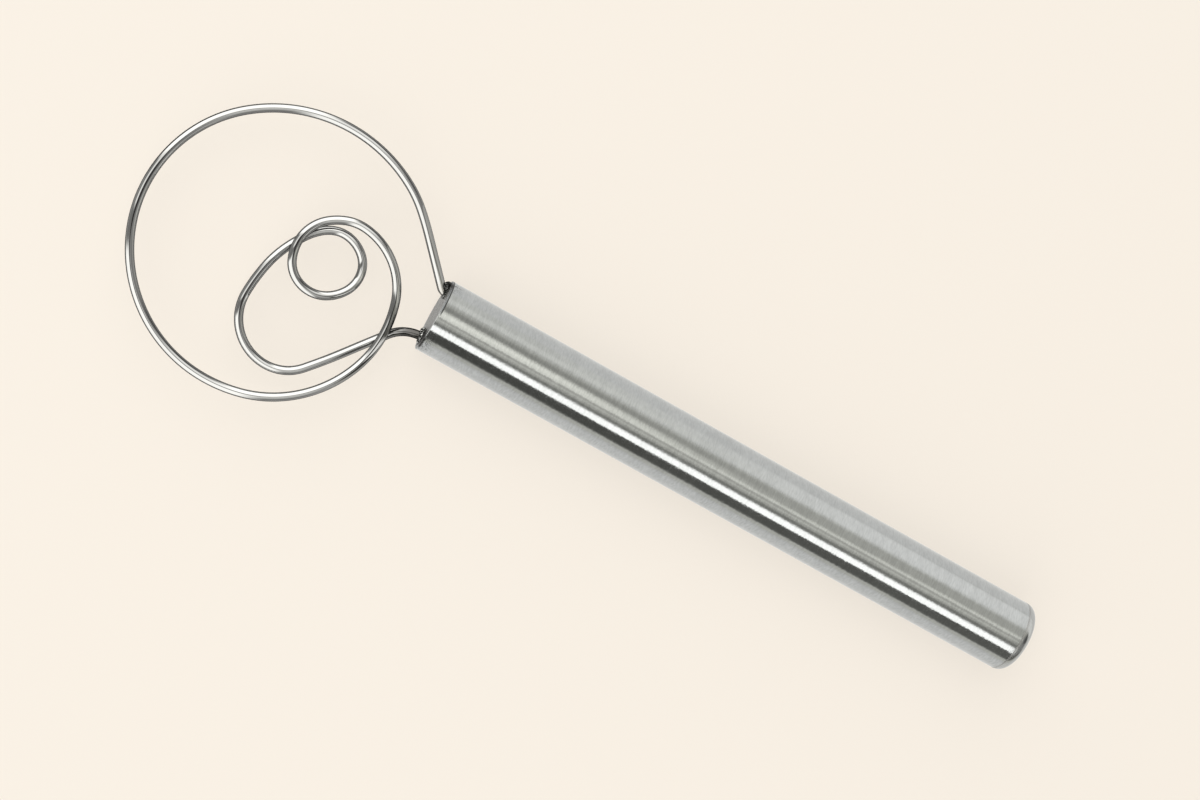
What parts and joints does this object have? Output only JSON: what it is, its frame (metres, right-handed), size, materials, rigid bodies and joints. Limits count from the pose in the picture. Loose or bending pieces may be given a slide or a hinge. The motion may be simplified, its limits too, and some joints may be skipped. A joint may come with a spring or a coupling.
{
  "type": "dough whisk",
  "caption": "Dough whisk: one stiff wire bent into an open head of nested loops, welded to a round hollow steel handle with flat caps.",
  "frame": {"origin": "centre of the tube's front rim, on the handle's axis", "axes": "+X along the handle from the whisk's head to the rear cap, +Y across the head towards the upper wire leg, +Z square to the plane of the head"},
  "size_m": [0.3351, 0.0968, 0.0254],
  "materials": {
    "polished_wire": "polished stainless steel",
    "brushed_tube": "finely brushed stainless steel, grain round the tube",
    "satin_cap": "satin stainless steel",
    "ground_weld": "ground weld bead",
    "raw_weld": "rough weld bead, slightly darkened"
  },
  "bodies": {
    "root": {"whisk_wire": "polished_wire", "handle_tube": "brushed_tube", "front_cap": "satin_cap", "rear_cap": "satin_cap", "front_seam_weld": "ground_weld", "rear_seam_weld": "ground_weld", "wire_weld_upper": "raw_weld", "wire_weld_lower": "raw_weld"}
  },
  "joints": []
}
